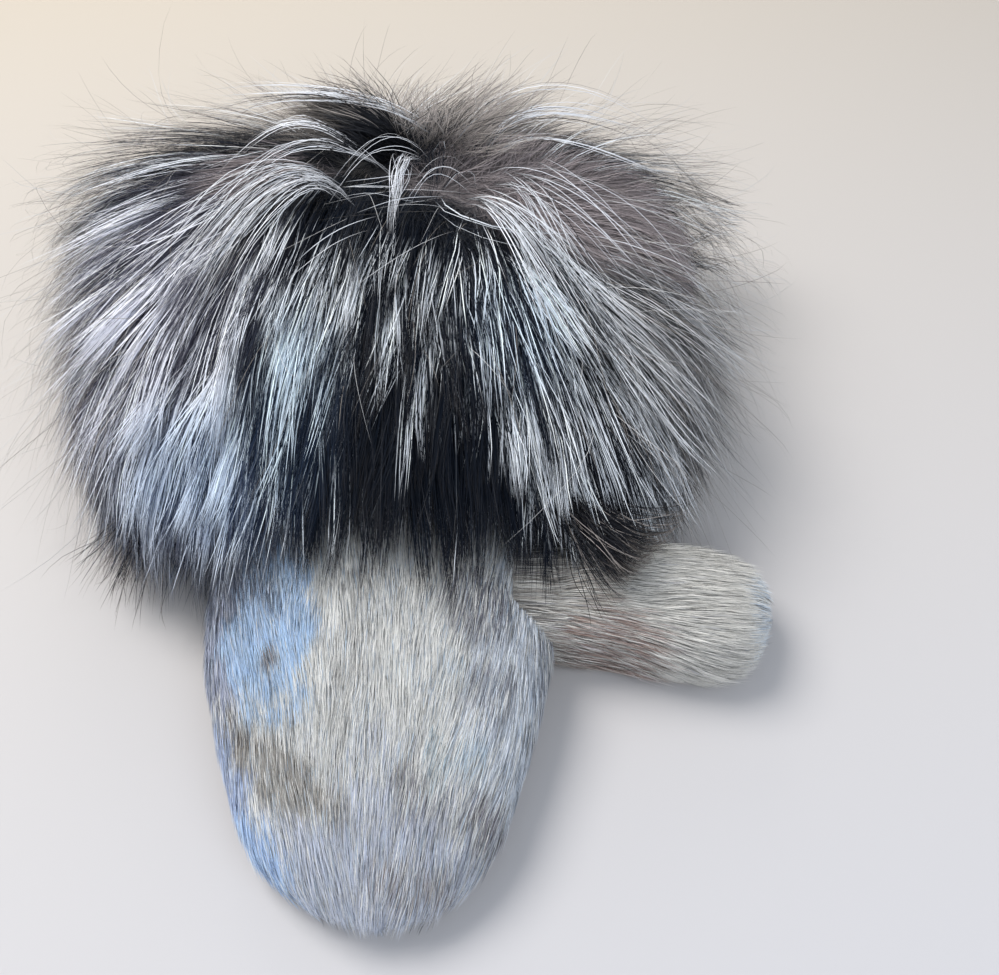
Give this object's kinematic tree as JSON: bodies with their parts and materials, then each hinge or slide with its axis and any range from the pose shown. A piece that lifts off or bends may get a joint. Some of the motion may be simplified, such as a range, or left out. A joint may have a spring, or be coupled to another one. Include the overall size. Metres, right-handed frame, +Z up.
{
  "type": "fur mitten",
  "caption": "Hollow fur mitten for the right hand, lying back side up, with a short-haired hand and thumb and a deep cuff of long guard hair.",
  "frame": {"origin": "on the flat of the palm, midway across the hand, on the surface that the mitten lies on", "axes": "+Z up out of the back of the hand, +Y from the fingertips to the wrist opening, +X towards the thumb"},
  "size_m": [0.2913, 0.337, 0.1194],
  "materials": {
    "short_fur": "short straight fur, mottled cream and grey, lying towards the fingertips",
    "palm_fur": "short straight fur in plain mottled grey",
    "thumb_fur": "short straight cream fur, lying towards the tip of the thumb",
    "fox_fur": "long guard hair with black roots, a white band and black tips over soft grey underfur"
  },
  "bodies": {
    "root": {"hand_back": "short_fur", "hand_palm": "palm_fur", "thumb": "thumb_fur", "cuff_fur": "fox_fur"}
  },
  "joints": []
}
